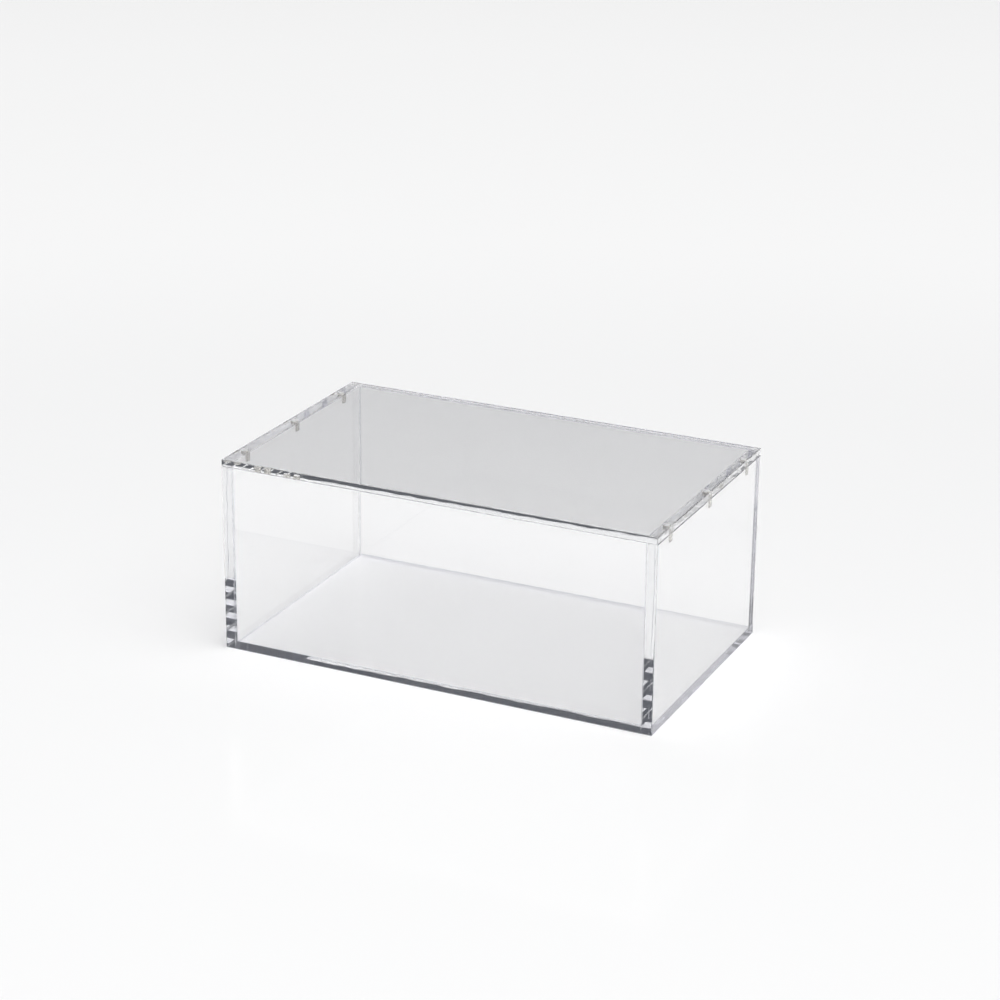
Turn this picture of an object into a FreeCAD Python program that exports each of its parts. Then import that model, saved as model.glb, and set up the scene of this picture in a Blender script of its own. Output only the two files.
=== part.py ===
import FreeCAD, Part
import math
import os
import Sketcher

# Clear acrylic display case. A base and four walls are bonded into an open box, and a loose lid
# of the full footprint is held by pairs of small cylindrical magnets in the two short ends.
# Millimetres, +Z up, front towards -Y, origin at the middle of the underside.

doc = FreeCAD.newDocument("display_case")
sheet = doc.addObject("Spreadsheet::Sheet", "Sizes")

driving_sizes = {
    "case_width": 246,
    "case_depth": 144.5,
    "case_height": 107,
    "end_wall_thickness": 6,
    "long_wall_thickness": 3,
    "base_thickness": 4,
    "lid_thickness": 3.9,
    "lid_seat_gap": 0.1,
    "edge_chamfer": 0.4,
    "magnet_diameter": 4,
    "magnet_chamfer": 0.15,
    "magnet_hole_clearance": 0.1,
    "wall_magnet_length": 5,
    "lid_magnet_length": 2,
    "magnet_end_distance": 19,
}
for row, (alias, value) in enumerate(driving_sizes.items(), start=1):
    sheet.set(f"A{row}", alias)
    sheet.set(f"B{row}", str(value))
    sheet.setAlias(f"B{row}", alias)
doc.recompute()

# Sizes and places that follow from the driving sizes.
# The magnets stand proud by half the seat gap on each side, so they meet and carry the lid.
rim_height = "(Sizes.case_height - Sizes.lid_thickness - Sizes.lid_seat_gap)"
inner_width = "(Sizes.case_width - 2 * Sizes.end_wall_thickness)"
end_wall_x = "((Sizes.case_width - Sizes.end_wall_thickness) / 2)"
long_wall_y = "((Sizes.case_depth - Sizes.long_wall_thickness) / 2)"
long_wall_height = f"({rim_height} - Sizes.base_thickness)"
lid_underside = "(Sizes.case_height - Sizes.lid_thickness)"
magnet_y = "(Sizes.case_depth / 2 - Sizes.magnet_end_distance)"
magnet_proud = "(Sizes.lid_seat_gap / 2)"
hole_diameter = "(Sizes.magnet_diameter + 2 * Sizes.magnet_hole_clearance)"
wall_hole_depth = f"(Sizes.wall_magnet_length - {magnet_proud})"
lid_hole_depth = f"(Sizes.lid_magnet_length - {magnet_proud})"

# Which way each end, long wall and magnet row lies from the middle of the case.
ends = {"left": -1, "right": 1}
long_walls = {"front": -1, "back": 1}
magnet_rows = {"front": -1, "middle": 0, "rear": 1}


def sized(expression):
    """The value of an expression on the driving sizes."""
    return float(sheet.evalExpression(expression))


def near(value, target):
    return math.isclose(value, target, abs_tol=1e-6)


def new_body(label, x, y, z):
    """An empty body whose place follows three expressions."""
    body = doc.addObject("PartDesign::Body", label)
    body.Label = label
    for axis, expression in zip("xyz", (x, y, z)):
        body.setExpression(f"Placement.Base.{axis}", expression)
    return body


def level_sketch(body, name, height):
    """A sketch on the body's XY plane, raised to a height."""
    sketch = body.newObject("Sketcher::SketchObject", name)
    plane = next(item for item in body.Origin.OriginFeatures if item.Role == "XY_Plane")
    sketch.AttachmentSupport = [(plane, "")]
    sketch.MapMode = "FlatFace"
    sketch.setExpression("AttachmentOffset.Base.z", height)
    return sketch


def hold(sketch, name, expression, kind, *places):
    """A named dimension of a sketch, bound to an expression."""
    index = sketch.addConstraint(Sketcher.Constraint(kind, *places, sized(expression)))
    sketch.renameConstraint(index, name)
    sketch.setExpression(f"Constraints.{name}", expression)


def draw_rectangle(sketch, width, depth):
    """A rectangle centred on the sketch's origin."""
    half_width = sized(width) / 2
    half_depth = sized(depth) / 2
    corners = [
        FreeCAD.Vector(x * half_width, y * half_depth, 0)
        for x, y in ((-1, -1), (1, -1), (1, 1), (-1, 1))
    ]
    for side in range(4):
        sketch.addGeometry(Part.LineSegment(corners[side], corners[(side + 1) % 4]))
    for side in range(4):
        sketch.addConstraint(Sketcher.Constraint("Coincident", side, 2, (side + 1) % 4, 1))
        direction = "Vertical" if side % 2 else "Horizontal"
        sketch.addConstraint(Sketcher.Constraint(direction, side))
    sketch.addConstraint(Sketcher.Constraint("Symmetric", 0, 1, 1, 2, -1, 1))
    hold(sketch, "width", width, "DistanceX", 0, 1, 0, 2)
    hold(sketch, "depth", depth, "DistanceY", 1, 1, 1, 2)


def draw_circle(sketch, name, diameter, x, y):
    """A circle whose centre lies at two expressions, on an axis where one of them is zero."""
    centre = FreeCAD.Vector(sized(x), sized(y), 0)
    circle = sketch.addGeometry(Part.Circle(centre, FreeCAD.Vector(0, 0, 1), sized(diameter) / 2))
    for expression, kind, axis in ((x, "DistanceX", -2), (y, "DistanceY", -1)):
        if expression == "0":
            sketch.addConstraint(Sketcher.Constraint("PointOnObject", circle, 3, axis))
        else:
            hold(sketch, f"{name}_{kind}", expression, kind, -1, 1, circle, 3)
    hold(sketch, f"{name}_diameter", diameter, "Diameter", circle)


def raise_pad(body, sketch, height):
    pad = body.newObject("PartDesign::Pad", "Pad")
    pad.Profile = sketch
    pad.setExpression("Length", height)
    doc.recompute()
    return pad


def break_edges(body, feature, wanted, size):
    """Chamfers the edges of a feature whose middle points are wanted."""
    names = [
        f"Edge{number}"
        for number, edge in enumerate(feature.Shape.Edges, start=1)
        if wanted(edge.CenterOfMass)
    ]
    chamfer = body.newObject("PartDesign::Chamfer", "Chamfer")
    chamfer.Base = (feature, names)
    chamfer.setExpression("Size", size)
    doc.recompute()


def plate(label, sizes, place, polished):
    """A flat plate standing on its place, with its polished edges broken."""
    width, depth, height = sizes
    body = new_body(label, *place)
    outline = level_sketch(body, "Outline", "0")
    draw_rectangle(outline, width, depth)
    pad = raise_pad(body, outline, height)
    break_edges(body, pad, polished, "Sizes.edge_chamfer")
    return body


def drill_holes(body, height, depth, columns, upward):
    """Blind magnet holes in rows along Y, drilled down from a height or up from it."""
    before = body.Shape.Volume
    sketch = level_sketch(body, "Holes", height)
    for column, x in columns.items():
        for row, side in magnet_rows.items():
            y = f"{side} * {magnet_y}" if side else "0"
            draw_circle(sketch, f"{column}_{row}", hole_diameter, x, y)
    pocket = body.newObject("PartDesign::Pocket", "Pocket")
    pocket.Profile = sketch
    pocket.Reversed = upward
    pocket.setExpression("Length", depth)
    doc.recompute()
    count = len(columns) * len(magnet_rows)
    drilled = count * math.pi * sized(hole_diameter) ** 2 / 4 * sized(depth)
    if not math.isclose(before - body.Shape.Volume, drilled, rel_tol=1e-3):
        raise RuntimeError(f"{body.Label}: the magnet holes are not cut as drawn")


def magnet(label, length, x, y, z):
    """A cylinder magnet with both rims chamfered."""
    body = new_body(label, x, y, z)
    outline = level_sketch(body, "Outline", "0")
    draw_circle(outline, "rim", "Sizes.magnet_diameter", "0", "0")
    pad = raise_pad(body, outline, length)
    rims = (0, sized(length))
    break_edges(body, pad, lambda at: any(near(at.z, rim) for rim in rims), "Sizes.magnet_chamfer")
    return body


# Base plate: between the end walls, with its front and back edges showing.
def base_edges():
    """Picks the lower front and back edges, which lie on the outside of the case."""
    half_depth = sized("Sizes.case_depth / 2")
    return lambda at: near(at.z, 0) and near(abs(at.y), half_depth)


sub_parts = []
sub_parts.append(plate(
    "base_plate",
    (inner_width, "Sizes.case_depth", "Sizes.base_thickness"),
    ("0", "0", "0"),
    base_edges(),
))


# End walls: full depth, down to the floor, drilled from above on their middle line.
def end_wall_edges(side):
    """Picks the edges round the outer face and round the front and back ends."""
    outer_x = side * sized("Sizes.end_wall_thickness / 2")
    half_depth = sized("Sizes.case_depth / 2")
    return lambda at: near(at.x, outer_x) or near(abs(at.y), half_depth)


for end, side in ends.items():
    wall = plate(
        f"{end}_wall",
        ("Sizes.end_wall_thickness", "Sizes.case_depth", rim_height),
        (f"{side} * {end_wall_x}", "0", "0"),
        end_wall_edges(side),
    )
    drill_holes(wall, rim_height, wall_hole_depth, {"centre": "0"}, upward=False)
    sub_parts.append(wall)


# Long walls: standing on the base between the end walls.
def long_wall_edges(side):
    """Picks the outer edge of the rim."""
    outer_y = side * sized("Sizes.long_wall_thickness / 2")
    rim = sized(long_wall_height)
    return lambda at: near(at.y, outer_y) and near(at.z, rim)


for name, side in long_walls.items():
    sub_parts.append(plate(
        f"{name}_wall",
        (inner_width, "Sizes.long_wall_thickness", long_wall_height),
        ("0", f"{side} * {long_wall_y}", "Sizes.base_thickness"),
        long_wall_edges(side),
    ))

# Lid: one loose plate over the whole footprint, every edge broken, drilled from below.
lid = plate(
    "lid_plate",
    ("Sizes.case_width", "Sizes.case_depth", "Sizes.lid_thickness"),
    ("0", "0", lid_underside),
    lambda at: True,
)
lid_columns = {end: f"{side} * {end_wall_x}" for end, side in ends.items()}
drill_holes(lid, "0", lid_hole_depth, lid_columns, upward=True)
sub_parts.append(lid)

# Magnets: one in the lid above one in the wall, meeting face to face in the seat gap.
wall_magnet_z = f"{rim_height} - {wall_hole_depth}"
lid_magnet_z = f"{lid_underside} - {magnet_proud}"
for end, end_side in ends.items():
    x = f"{end_side} * {end_wall_x}"
    for row, row_side in magnet_rows.items():
        y = f"{row_side} * {magnet_y}"
        sub_parts.append(magnet(f"wall_magnet_{end}_{row}", "Sizes.wall_magnet_length", x, y, wall_magnet_z))
        sub_parts.append(magnet(f"lid_magnet_{end}_{row}", "Sizes.lid_magnet_length", x, y, lid_magnet_z))

doc.recompute()
for item in doc.Objects:
    if "Invalid" in item.State or "Error" in item.State:
        raise RuntimeError(f"{item.Label} failed: {item.State}")
for body in sub_parts:
    if body.Shape.isNull() or not body.Shape.isValid():
        raise RuntimeError(f"{body.Label} has no valid shape")

os.makedirs("parts", exist_ok=True)
for body in sub_parts:
    body.Shape.exportStep(f"parts/{body.Label}.step")
    print(f"{body.Label}: {body.Shape.Volume:.1f} mm3")
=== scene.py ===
import math

import bpy
from mathutils import Matrix, Vector


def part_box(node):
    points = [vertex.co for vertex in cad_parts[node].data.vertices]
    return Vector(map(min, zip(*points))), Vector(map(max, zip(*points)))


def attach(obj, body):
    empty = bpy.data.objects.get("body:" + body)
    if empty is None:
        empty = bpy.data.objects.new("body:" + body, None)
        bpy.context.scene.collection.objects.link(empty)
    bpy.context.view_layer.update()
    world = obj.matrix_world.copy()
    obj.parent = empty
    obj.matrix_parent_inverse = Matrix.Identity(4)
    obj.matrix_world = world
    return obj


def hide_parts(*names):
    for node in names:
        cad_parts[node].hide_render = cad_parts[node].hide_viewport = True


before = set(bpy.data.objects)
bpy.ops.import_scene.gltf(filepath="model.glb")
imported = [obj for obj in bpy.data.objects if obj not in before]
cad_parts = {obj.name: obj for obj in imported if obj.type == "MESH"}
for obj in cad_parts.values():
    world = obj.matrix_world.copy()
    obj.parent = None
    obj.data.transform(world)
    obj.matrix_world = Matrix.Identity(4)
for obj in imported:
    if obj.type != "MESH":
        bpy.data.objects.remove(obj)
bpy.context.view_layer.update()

# Base plate: the floor of the case, a rectangle of clear cast acrylic sheet lying between the end walls.
# Its front and back edges are polished with eased arrises. Its ends, and the strips under the long walls,
# are bonded with solvent, which leaves no air, so light crosses these joints without bending.
ACRYLIC_IOR = 1.5
ARRIS_RADIUS = 0.0004
ARRIS_STEPS = 3
SAME_PLACE = 0.00001
SQUARE_ON = 0.99


class Wire:
    """A node's output. Operators on it add Math nodes, and node() adds any other node."""

    def __init__(self, tree, socket=None):
        self.tree = tree
        self.socket = socket

    def node(self, kind, settings=None, inputs=None, output=0):
        made = self.tree.nodes.new("ShaderNode" + kind)
        for name, value in (settings or {}).items():
            if name == "stops":
                self.set_stops(made.color_ramp.elements, value)
            else:
                setattr(made, name, value)
        for name, value in (inputs or {}).items():
            if isinstance(value, Wire):
                self.tree.links.new(value.socket, made.inputs[name])
            else:
                made.inputs[name].default_value = value
        return Wire(self.tree, made.outputs[output] if made.outputs else None)

    def set_stops(self, stops, wanted):
        while len(stops) < len(wanted):
            stops.new(1)
        for stop, (place, colour) in zip(stops, wanted):
            stop.position = place
            stop.color = (*colour, 1)

    def math(self, operation, first, second):
        return self.node("Math", {"operation": operation}, {0: first, 1: second})

    def __add__(self, other):
        return self.math("ADD", self, other)

    __radd__ = __add__

    def __mul__(self, other):
        return self.math("MULTIPLY", self, other)

    __rmul__ = __mul__

    def __lt__(self, other):
        return self.math("LESS_THAN", self, other)

    def __gt__(self, other):
        return self.math("GREATER_THAN", self, other)


def new_material(name):
    """An empty node material, and a wire to start its nodes from."""
    material = bpy.data.materials.new(name)
    material.use_nodes = True
    material.node_tree.nodes.clear()
    return material, Wire(material.node_tree)


def finish_material(wire, shader):
    wire.node("OutputMaterial", None, {"Surface": shader})


def sheet_face():
    """The cast face of the sheet: slightly wavy."""
    material, wire = new_material("acrylic_sheet_face")
    at = wire.node("TexCoord", output="Object")
    waves = wire.node("TexNoise", None, {"Vector": at, "Scale": 30.0, "Detail": 2.0})
    bump = wire.node("Bump", None, {"Height": waves, "Strength": 1.0, "Distance": 0.00004})
    shader = wire.node("BsdfPrincipled", None, {
        "Base Color": (0.997, 0.997, 1, 1),
        "Roughness": 0.0,
        "IOR": ACRYLIC_IOR,
        "Transmission Weight": 1.0,
        "Normal": bump,
    })
    finish_material(wire, shader)
    return material


def polished_edge():
    """A buffed saw cut: clear, with a fine ripple from the wheel."""
    material, wire = new_material("acrylic_polished_edge")
    at = wire.node("TexCoord", output="Object")
    ripple = wire.node("TexNoise", None, {"Vector": at, "Scale": 160.0, "Detail": 3.0})
    bump = wire.node("Bump", None, {"Height": ripple, "Strength": 1.0, "Distance": 0.00001})
    shader = wire.node("BsdfPrincipled", None, {
        "Base Color": (0.92, 0.925, 0.935, 1),
        "Roughness": 0.0,
        "IOR": ACRYLIC_IOR,
        "Transmission Weight": 1.0,
        "Normal": bump,
    })
    finish_material(wire, shader)
    return material


def solvent_joint():
    """A bonded face: a sawn edge that the solvent has wetted, clear in some places and cloudy in others."""
    material, wire = new_material("acrylic_solvent_joint")
    at = wire.node("TexCoord", output="Object")
    patches = wire.node("TexNoise", None, {"Vector": at, "Scale": 90.0, "Detail": 3.0})
    spots = wire.node("TexVoronoi", None, {"Vector": at, "Scale": 420.0}, output="Distance")
    haze = 0.01 + 0.06 * patches
    bubbles = 0.3 * (spots < 0.1)
    clear = wire.node("BsdfTransparent", None, {"Color": (0.9, 0.9, 0.92, 1)})
    cloudy = wire.node("BsdfTranslucent", None, {"Color": (0.93, 0.93, 0.95, 1)})
    finish_material(wire, wire.node("MixShader", None, {"Fac": haze + bubbles, 1: clear, 2: cloudy}))
    return material


acrylic = [sheet_face(), polished_edge(), solvent_joint()]
EDGE = 1
JOINT = 2


def close(value, target):
    return abs(value - target) < SAME_PLACE


def name_piece(piece, name):
    piece.name = name
    piece.data.name = name


def sawn_plate(name, low, high):
    """A plate of sheet at its place, with square edges, and the sheet's own face all over."""
    bpy.ops.object.select_all(action="DESELECT")
    bpy.ops.mesh.primitive_cube_add(size=1, location=(low + high) / 2, scale=high - low)
    bpy.ops.object.transform_apply(location=True, rotation=True, scale=True)
    plate = bpy.context.object
    name_piece(plate, name)
    for material in acrylic:
        plate.data.materials.append(material)
    return plate


def mark_joint(plate, axis, place):
    """Cuts a line of edges round the plate, where the face of another plate meets it."""
    normal = Vector()
    setattr(normal, axis, 1)
    bpy.ops.object.mode_set(mode="EDIT")
    bpy.ops.mesh.select_all(action="SELECT")
    bpy.ops.mesh.bisect(plane_co=normal * place, plane_no=normal)
    bpy.ops.object.mode_set(mode="OBJECT")


def ease_edges(piece, wanted, radius=ARRIS_RADIUS, steps=ARRIS_STEPS):
    """Rounds the edges whose middle points are wanted."""
    mesh = piece.data
    bpy.ops.object.mode_set(mode="EDIT")
    bpy.ops.mesh.select_mode(type="EDGE")
    bpy.ops.mesh.select_all(action="DESELECT")
    bpy.ops.object.mode_set(mode="OBJECT")
    for edge in mesh.edges:
        start, end = (mesh.vertices[index].co for index in edge.vertices)
        edge.select = wanted((start + end) / 2)
    bpy.ops.object.mode_set(mode="EDIT")
    bpy.ops.mesh.bevel(offset=radius, segments=steps, affect="EDGES")
    bpy.ops.object.mode_set(mode="OBJECT")


def paint(plate, slot, wanted):
    """Gives the faces whose middle and normal are wanted a material slot."""
    for face in plate.data.polygons:
        if wanted(face.center, face.normal):
            face.material_index = slot


def fit_piece(piece, body, node):
    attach(piece, body)
    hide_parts(node)


low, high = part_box("base_plate")
base_top = high.z
case_back = high.y
wall_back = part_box("back_wall")[0].y

base = sawn_plate("base", low, high)
ease_edges(base, lambda at: close(at.z, low.z) and close(abs(at.y), case_back))
mark_joint(base, "y", -wall_back)
mark_joint(base, "y", wall_back)
paint(base, EDGE, lambda at, normal: max(abs(normal.x), abs(normal.z)) < SQUARE_ON)
paint(base, JOINT, lambda at, normal: abs(normal.x) > SQUARE_ON)
paint(base, JOINT, lambda at, normal: normal.z > SQUARE_ON and abs(at.y) > wall_back)
fit_piece(base, "case", "base_plate")

# End walls: two thicker acrylic plates of the full depth, with the base and long walls bonded between them.
# Their ends are buffed, and their rims and undersides are cut with diamond, as clear as the faces.
# Blind holes for the magnets are drilled down from the rims, on the middle line, and wetted with glue.
ENDS = {"left": -1, "right": 1}
ROWS = ("front", "middle", "rear")
ROUND_SIDES = 64
GLUE_FILM = 0.0001
FROST_MARGIN = 0.0003
CUTTER_OVERSHOOT = 0.001


def clear_glue():
    """The wall of a drilled hole, wetted by clear glue, so that only a faint tint and bubbles show."""
    material, wire = new_material("clear_glue")
    at = wire.node("TexCoord", output="Object")
    spots = wire.node("TexVoronoi", None, {"Vector": at, "Scale": 1500.0}, output="Distance")
    bubbles = spots < 0.12
    wetted = wire.node("BsdfTransparent", None, {"Color": (0.98, 0.975, 0.965, 1)})
    dry = wire.node("BsdfPrincipled", None, {
        "Base Color": (1, 1, 1, 1),
        "Roughness": 0.3,
        "IOR": ACRYLIC_IOR,
        "Transmission Weight": 1.0,
    })
    finish_material(wire, wire.node("MixShader", None, {"Fac": bubbles, 1: wetted, 2: dry}))
    return material


def drilled_frost():
    """The flat end of a drilled hole, left white and rough by the cutter."""
    material, wire = new_material("drilled_frost")
    at = wire.node("TexCoord", output="Object")
    marks = wire.node("TexNoise", None, {"Vector": at, "Scale": 2500.0, "Detail": 2.0})
    shader = wire.node("BsdfPrincipled", None, {
        "Base Color": (0.97, 0.97, 0.97, 1),
        "Roughness": 0.4 + 0.4 * marks,
        "IOR": ACRYLIC_IOR,
        "Transmission Weight": 0.1,
    })
    finish_material(wire, shader)
    return material


glue = clear_glue()
frost = drilled_frost()


def magnet_nodes(kind, ends=ENDS):
    """The CAD nodes of one kind of magnet, end by end and from front to rear."""
    return [f"{kind}_magnet_{end}_{row}" for end in ends for row in ROWS]


def middle_of(node):
    low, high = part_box(node)
    return (low + high) / 2


def radius_of(node):
    low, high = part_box(node)
    return (high.x - low.x) / 2


def round_bar(middle, radius, length):
    """An upright cylinder at its place, with sharp rims."""
    bpy.ops.object.select_all(action="DESELECT")
    bpy.ops.mesh.primitive_cylinder_add(vertices=ROUND_SIDES, radius=radius, depth=length, location=middle)
    bpy.ops.object.transform_apply(location=True, rotation=True, scale=True)
    return bpy.context.object


def cut_holes(plate, cutter):
    """Cuts a shape out of the plate, and wets the new faces with glue."""
    for piece in (cutter, plate):
        piece.data.materials.append(glue)
    bpy.ops.object.select_all(action="DESELECT")
    plate.select_set(True)
    bpy.context.view_layer.objects.active = plate
    holes = plate.modifiers.new("holes", "BOOLEAN")
    holes.object = cutter
    holes.solver = "EXACT"
    bpy.ops.object.modifier_apply(modifier=holes.name)
    bpy.data.objects.remove(cutter)


def frost_ends(plate, deepest):
    """Roughens the flat ends of the holes, inside a margin that the glue has filled."""
    bpy.ops.object.mode_set(mode="EDIT")
    bpy.ops.mesh.select_mode(type="FACE")
    bpy.ops.mesh.select_all(action="DESELECT")
    bpy.ops.object.mode_set(mode="OBJECT")
    plate.data.materials.append(frost)
    plate.active_material_index = len(plate.data.materials) - 1
    for face in plate.data.polygons:
        face.select = close(face.center.z, deepest)
    bpy.ops.object.mode_set(mode="EDIT")
    bpy.ops.mesh.inset(thickness=FROST_MARGIN, use_individual=True)
    bpy.ops.object.material_slot_assign()
    bpy.ops.object.mode_set(mode="OBJECT")


def drill(plate, nodes, deepest, mouth):
    """Blind holes round the magnets' nodes, a glue film wider than the magnets, with frosted ends."""
    radius = radius_of(nodes[0]) + GLUE_FILM
    cutters = []
    for node in nodes:
        middle = middle_of(node)
        middle.z = (deepest + mouth) / 2
        cutters.append(round_bar(middle, radius, abs(mouth - deepest)))
    for cutter in cutters:
        cutter.select_set(True)
    bpy.ops.object.join()
    cut_holes(plate, bpy.context.object)
    frost_ends(plate, deepest)


for end, side in ENDS.items():
    low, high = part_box(f"{end}_wall")
    outer = low.x if side < 0 else high.x
    wall = sawn_plate(f"{end}_end_wall", low, high)
    ease_edges(wall, lambda at: close(at.x, outer) or close(abs(at.y), case_back))
    mark_joint(wall, "y", -wall_back)
    mark_joint(wall, "y", wall_back)
    mark_joint(wall, "z", base_top)
    paint(wall, EDGE, lambda at, normal: max(abs(normal.x), abs(normal.z)) < SQUARE_ON)
    paint(wall, JOINT, lambda at, normal: normal.x * side < -SQUARE_ON and (
        at.z < base_top or abs(at.y) > wall_back))
    nodes = magnet_nodes("wall", [end])
    drill(wall, nodes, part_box(nodes[0])[0].z - GLUE_FILM, high.z + CUTTER_OVERSHOOT)
    fit_piece(wall, "case", f"{end}_wall")

# Long walls: thinner acrylic plates at the front and back, standing on the base between the end walls.
# They are bonded along three sides, and the outer edge of the open top is eased.
for name, side in (("front", -1), ("back", 1)):
    low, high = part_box(f"{name}_wall")
    outer = low.y if side < 0 else high.y
    wall = sawn_plate(f"{name}_long_wall", low, high)
    ease_edges(wall, lambda at: close(at.y, outer) and close(at.z, high.z))
    paint(wall, EDGE, lambda at, normal: abs(normal.y) < SQUARE_ON)
    paint(wall, JOINT, lambda at, normal: abs(normal.x) > SQUARE_ON or normal.z < -SQUARE_ON)
    fit_piece(wall, "case", f"{name}_wall")

# Wall magnets: nickel-plated cylinders, glued into the end walls and standing a hair above the rim.
# Plating rounds their rims and leaves the metal bright, with a fine grain.
MAGNET_RIM = 0.0003
MAGNET_RIM_STEPS = 4
SMOOTH_BELOW = math.radians(40)


def nickel_plate():
    """Bright plating with a fine grain, duller where the magnets have rubbed."""
    material, wire = new_material("nickel_plate")
    at = wire.node("TexCoord", output="Object")
    rubs = wire.node("TexNoise", None, {"Vector": at, "Scale": 900.0, "Detail": 2.0})
    grain = wire.node("TexNoise", None, {"Vector": at, "Scale": 9000.0, "Detail": 1.0})
    tones = ((0.3, (0.66, 0.65, 0.63)), (0.7, (0.80, 0.79, 0.77)))
    colour = wire.node("ValToRGB", {"stops": tones}, {"Fac": rubs})
    bump = wire.node("Bump", None, {"Height": grain, "Strength": 0.2, "Distance": 0.000005})
    shader = wire.node("BsdfPrincipled", None, {
        "Base Color": colour,
        "Metallic": 1.0,
        "Roughness": 0.14 + 0.22 * rubs,
        "Normal": bump,
    })
    finish_material(wire, shader)
    return material


plating = nickel_plate()


def turned_magnet(name, node):
    """A magnet at its place, its rims rounded."""
    low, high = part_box(node)
    magnet = round_bar(middle_of(node), radius_of(node), high.z - low.z)
    name_piece(magnet, name)
    magnet.data.materials.append(plating)
    ease_edges(magnet, lambda at: close(at.z, low.z) or close(at.z, high.z), MAGNET_RIM, MAGNET_RIM_STEPS)
    bpy.ops.object.shade_smooth_by_angle(angle=SMOOTH_BELOW)
    return magnet


def copied_magnet(pattern, pattern_node, name, node):
    """A copy of a magnet, with a mesh of its own, moved to another node's place."""
    bpy.ops.object.select_all(action="DESELECT")
    pattern.select_set(True)
    bpy.context.view_layer.objects.active = pattern
    bpy.ops.object.duplicate(linked=False)
    bpy.ops.transform.translate(value=middle_of(node) - middle_of(pattern_node))
    bpy.ops.object.transform_apply(location=True, rotation=True, scale=True)
    magnet = bpy.context.object
    name_piece(magnet, name)
    return magnet


def set_magnets(kind, body):
    """Models one magnet of a kind and sets its copies in every other hole."""
    nodes = magnet_nodes(kind)
    pattern = turned_magnet(f"{nodes[0]}_plated", nodes[0])
    magnets = [pattern] + [copied_magnet(pattern, nodes[0], f"{node}_plated", node) for node in nodes[1:]]
    for magnet, node in zip(magnets, nodes):
        fit_piece(magnet, body, node)


set_magnets("wall", "case")

# Lid: one loose acrylic plate over the whole footprint, with every edge polished and eased.
# Its blind magnet holes are drilled from below, over those of the end walls.
low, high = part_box("lid_plate")
lid = sawn_plate("lid", low, high)
ease_edges(lid, lambda at: True)
paint(lid, EDGE, lambda at, normal: abs(normal.z) < SQUARE_ON)
nodes = magnet_nodes("lid")
drill(lid, nodes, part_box(nodes[0])[1].z + GLUE_FILM, low.z - CUTTER_OVERSHOOT)
fit_piece(lid, "lid", "lid_plate")

# Lid magnets: shorter nickel-plated cylinders, glued into the lid face to face with those in the walls.
# They stand a hair below the lid, so that magnet meets magnet and the plates stay apart.
set_magnets("lid", "lid")

# Floor: a plain white table top with a slight gloss, which is no part of the case.
# It lies a hair under the case, so that no two faces share a plane.
FLOOR_SIZE = 20
FLOOR_GAP = 0.0002
bpy.ops.object.select_all(action="DESELECT")
bpy.ops.mesh.primitive_plane_add(size=FLOOR_SIZE, location=(0, 0, -FLOOR_GAP))
bpy.ops.object.transform_apply(location=True, rotation=True, scale=True)
floor = bpy.context.object
floor.name = "floor"
material, wire = new_material("white_table_top")
at = wire.node("TexCoord", output="Object")
mottle = wire.node("TexNoise", None, {"Vector": at, "Scale": 3.0, "Detail": 2.0})
finish_material(wire, wire.node("BsdfPrincipled", None, {
    "Base Color": (0.93, 0.93, 0.93, 1),
    "Roughness": 0.08 + 0.04 * mottle,
    "Specular IOR Level": 0.14,
}))
floor.data.materials.append(material)

# Light: one large soft box above on the right, under a paler ceiling, in a room with light walls.
# Behind the white sweep is a dark gap, which shows only in the polished edges and in the gloss of the lid.
# Each pair of limits is where one part of the room passes into the next, on a direction of length 1.
LIGHT_WALL = (0.6, 0.6, 0.6, 1)
DARK_GAP = (0.06, 0.066, 0.084, 1)
CEILING = (0.68, 0.68, 0.68, 1)
BACK_LIMITS = (0.1, 0.5)
SWEEP_LIMITS = (0.27, 0.32)
WALL_LIMITS = (0.45, 0.72)
SOFT_BOX_LIMITS = (0.86, 0.95)
SOFT_BOX_WAY = Vector((0.42, -0.12, 0.9)).normalized()
SOFT_BOX_STRENGTH = 3.0
COLOUR_A = 6
COLOUR_B = 7
COLOUR_RESULT = 2
world = bpy.data.worlds.new("studio")
world.use_nodes = True
world.node_tree.nodes.clear()
bpy.context.scene.world = world
sky = Wire(world.node_tree)


def passing(value, limits):
    """Goes from 0 to 1 as a value passes from one limit to the other."""
    start, end = limits
    return sky.node("MapRange", None, {"Value": value, "From Min": start, "From Max": end})


def mixed(share, first, second):
    """The first colour, with a share of the second."""
    colours = {"Factor": share, COLOUR_A: first, COLOUR_B: second}
    return sky.node("Mix", {"data_type": "RGBA"}, colours, output=COLOUR_RESULT)


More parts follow.
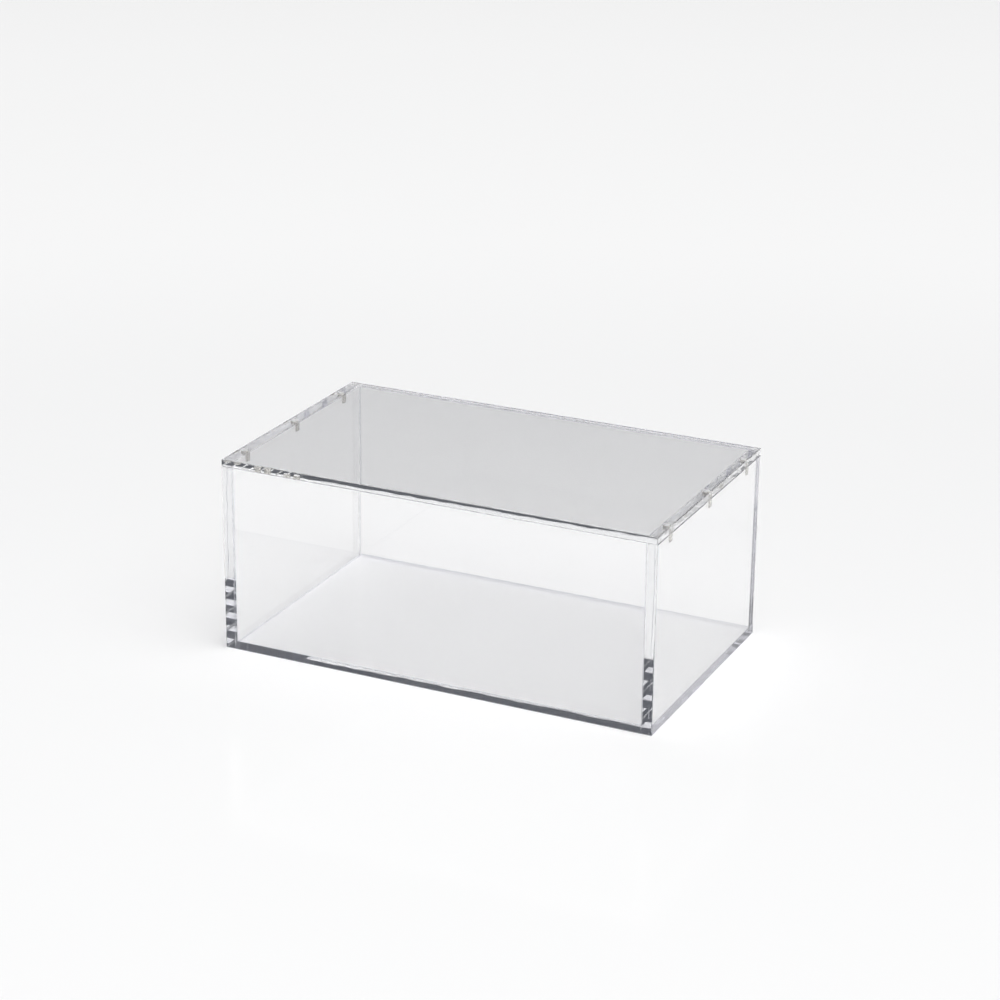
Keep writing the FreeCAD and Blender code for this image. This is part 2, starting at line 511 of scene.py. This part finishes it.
way = sky.node("TexCoord", output="Generated")
behind = sky.node("SeparateXYZ", None, {"Vector": way}, output="Y")
height = sky.node("SeparateXYZ", None, {"Vector": way}, output="Z")
facing = sky.node("VectorMath", {"operation": "DOT_PRODUCT"}, {0: way, 1: SOFT_BOX_WAY}, output="Value")
walls = mixed(passing(behind, BACK_LIMITS) * passing(height, SWEEP_LIMITS), LIGHT_WALL, DARK_GAP)
room = mixed(passing(height, WALL_LIMITS), walls, CEILING)
soft_box = passing(facing, SOFT_BOX_LIMITS)
glow = sky.node("Background", None, {"Color": room, "Strength": 1.0})
lamp = sky.node("Background", None, {"Color": soft_box, "Strength": SOFT_BOX_STRENGTH})
sky.node("OutputWorld", None, {"Surface": sky.node("AddShader", None, {0: glow, 1: lamp})})

# Camera: from the front and a little to the right, looking down on the lid through a long lens.
# Its angles, distance and aim were fitted to the outer edges of the case.
AZIMUTH = math.radians(25.142)
ELEVATION = math.radians(20.824)
ROLL = math.radians(0.595)
DISTANCE = 1.679
AIM = Vector((-0.0870, 0.1940, 0))
LENS_MM = 98.67
SENSOR_MM = 36
back = Vector((
    math.sin(AZIMUTH) * math.cos(ELEVATION),
    -math.cos(AZIMUTH) * math.cos(ELEVATION),
    math.sin(ELEVATION),
))
lens = bpy.data.cameras.new("camera")
lens.lens = LENS_MM
lens.sensor_width = SENSOR_MM
camera = bpy.data.objects.new("camera", lens)
scene = bpy.context.scene
scene.collection.objects.link(camera)
turn = (-back).to_track_quat("-Z", "Y").to_matrix() @ Matrix.Rotation(ROLL, 3, "Z")
camera.matrix_world = Matrix.Translation(AIM + back * DISTANCE) @ turn.to_4x4()
scene.camera = camera

# Paths of light: a ray is reflected many times inside the clear plates before it leaves them,
# so its path may be long. Colours are shown as they are, with no film curve.
LONG_PATH = 128
scene.cycles.max_bounces = LONG_PATH
scene.cycles.glossy_bounces = LONG_PATH
scene.cycles.transmission_bounces = LONG_PATH
scene.cycles.transparent_max_bounces = LONG_PATH
scene.cycles.blur_glossy = 0
scene.view_settings.view_transform = "Standard"
